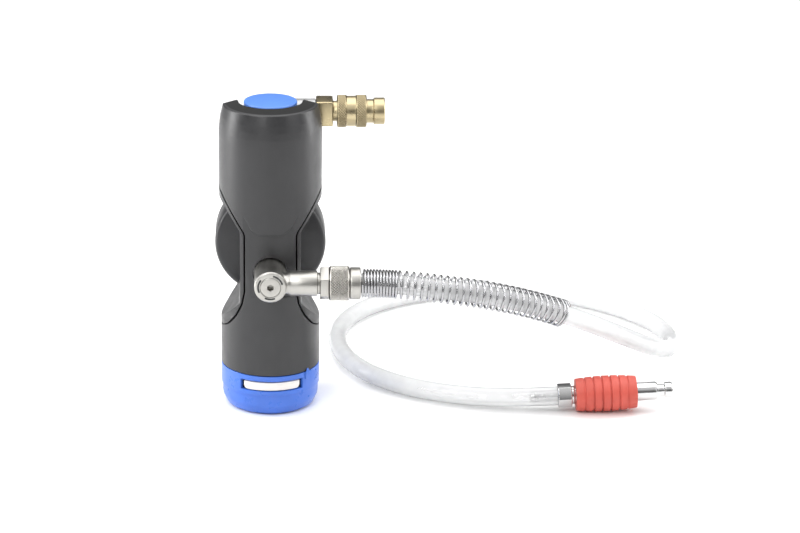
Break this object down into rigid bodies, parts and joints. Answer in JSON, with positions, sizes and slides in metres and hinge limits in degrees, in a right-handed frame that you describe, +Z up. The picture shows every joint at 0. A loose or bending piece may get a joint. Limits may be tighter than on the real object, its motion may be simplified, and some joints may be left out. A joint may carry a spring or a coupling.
{
  "type": "suspension charging unit",
  "caption": "Hand-held air charging unit for suspension shocks: waisted housing, press button, turning pressure ring, side coupler, rear gauge and guarded clear hose with quick plug.",
  "frame": {"origin": "centre of the pressure ring's foot, on the surface it stands on", "axes": "+Z up along the housing, +X along the air coupler, -Y to the operator's side with the outlet elbow"},
  "size_m": [0.3218, 0.262, 0.2065],
  "materials": {
    "shell_grey": "moulded",
    "blue_plastic": "moulded",
    "white_plastic": "moulded",
    "black_plastic": "moulded",
    "cast_alloy": "satin",
    "steel": "satin",
    "spring_steel": "drawn wire",
    "nickel": "satin nickel plate",
    "bright_plate": "polished",
    "brass": "satin",
    "seal_rubber": "matte",
    "clear_hose": "clear, flexible",
    "red_rubber": "matte, ribbed",
    "lens": "clear",
    "dial_white": "printed"
  },
  "bodies": {
    "unit": {"front_shell": "shell_grey", "rear_shell": "shell_grey", "shell_screws": "steel", "valve_body": "cast_alloy", "stem_gland": "brass", "spring_bonnet": "cast_alloy", "bearing_plate": "black_plastic", "inlet_seal": "seal_rubber", "inlet_block": "brass", "coupler_body": "brass", "lock_balls": "bright_plate", "coupler_spring": "spring_steel", "coupler_valve_spring": "spring_steel", "banjo_bolt": "nickel", "elbow_washer": "seal_rubber", "hose_lower": "clear_hose", "plug_core": "bright_plate", "plug_nut": "bright_plate", "gauge_case": "black_plastic", "gauge_bezel": "black_plastic", "gauge_lens": "lens", "gauge_dial": "dial_white", "gauge_socket": "brass", "movement_plates": "brass", "bourdon_tube": "brass", "bourdon_foot": "brass", "poppet_spring": "spring_steel", "fill_spring": "spring_steel", "button_spring": "spring_steel", "main_spring": "spring_steel"},
    "button": {"button_cap": "blue_plastic", "button_stem": "steel"},
    "fill_valve": {"fill_poppet": "brass"},
    "ring": {"pressure_ring": "blue_plastic", "ring_insert": "white_plastic", "spindle": "steel"},
    "seat": {"spring_seat": "steel"},
    "piston": {"diaphragm_piston": "brass"},
    "regulator_valve": {"poppet": "brass"},
    "swivel": {"elbow_body": "nickel", "tail_hex": "nickel", "guard_collar": "nickel", "spring_guard": "spring_steel", "hose_upper": "clear_hose"},
    "nut": {"hose_nut": "nickel"},
    "sleeve": {"coupler_sleeve": "brass"},
    "inlet_valve": {"coupler_valve": "brass"},
    "needle": {"gauge_needle": "black_plastic"},
    "sector": {"gauge_sector": "brass"},
    "grip": {"plug_grip": "red_rubber"}
  },
  "joints": [
    {"name": "ring_turn", "type": "hinge", "parent": "unit", "child": "ring", "pos_m": [0, 0, 0], "axis": [0, 0, 1], "range_deg": [-150, 150]},
    {"name": "seat_lift", "type": "slide", "parent": "unit", "child": "seat", "axis": [0, 0, 1], "range_m": [-0.00265, 0.00265], "deforming": ["main_spring"]},
    {"name": "piston_lift", "type": "slide", "parent": "unit", "child": "piston", "axis": [0, 0, 1], "range_m": [0, 0.0015], "stiffness_N_per_m": 300, "springref_m": -0.0008},
    {"name": "regulator_valve_lift", "type": "slide", "parent": "unit", "child": "regulator_valve", "axis": [0, 0, 1], "range_m": [0, 0.002], "deforming": ["poppet_spring"]},
    {"name": "button_press", "type": "slide", "parent": "unit", "child": "button", "axis": [0, 0, -1], "range_m": [0, 0.003], "stiffness_N_per_m": 1200, "springref_m": -0.002, "deforming": ["button_spring"]},
    {"name": "fill_valve_press", "type": "slide", "parent": "unit", "child": "fill_valve", "axis": [0, 0, -1], "range_m": [0, 0.003], "deforming": ["fill_spring"]},
    {"name": "outlet_swivel", "type": "hinge", "parent": "unit", "child": "swivel", "pos_m": [0, -0.048, 0.0988], "axis": [0, -1, 0], "range_deg": [0, 15]},
    {"name": "hose_nut_turn", "type": "hinge", "parent": "swivel", "child": "nut", "pos_m": [0.0438, -0.048, 0.0988], "axis": [1, 0, 0], "continuous": true},
    {"name": "coupler_sleeve_slide", "type": "slide", "parent": "unit", "child": "sleeve", "axis": [-1, 0, 0], "range_m": [0, 0.0024], "stiffness_N_per_m": 1500, "springref_m": -0.002},
    {"name": "inlet_valve_slide", "type": "slide", "parent": "unit", "child": "inlet_valve", "axis": [-1, 0, 0], "range_m": [0, 0.002], "stiffness_N_per_m": 400, "springref_m": -0.001},
    {"name": "needle_turn", "type": "hinge", "parent": "unit", "child": "needle", "pos_m": [0, 0.05, 0.0988], "axis": [0, -1, 0], "range_deg": [0, 270]},
    {"name": "sector_turn", "type": "hinge", "parent": "unit", "child": "sector", "pos_m": [0, 0.044, 0.0868], "axis": [0, -1, 0], "range_deg": [-48.3, 0]},
    {"name": "grip_turn", "type": "hinge", "parent": "unit", "child": "grip", "pos_m": [0.22025, -0.02, 0.01189], "axis": [0.9984, 0, 0.0565], "continuous": true}
  ],
  "couplings": [
    {"joint": "seat_lift", "follows": "ring_turn", "m_per_rad": 0.001},
    {"joint": "fill_valve_press", "follows": "button_press", "ratio": 1},
    {"joint": "regulator_valve_lift", "follows": "piston_lift", "ratio": 1},
    {"joint": "needle_turn", "follows": "sector_turn", "ratio": -5.5833}
  ]
}
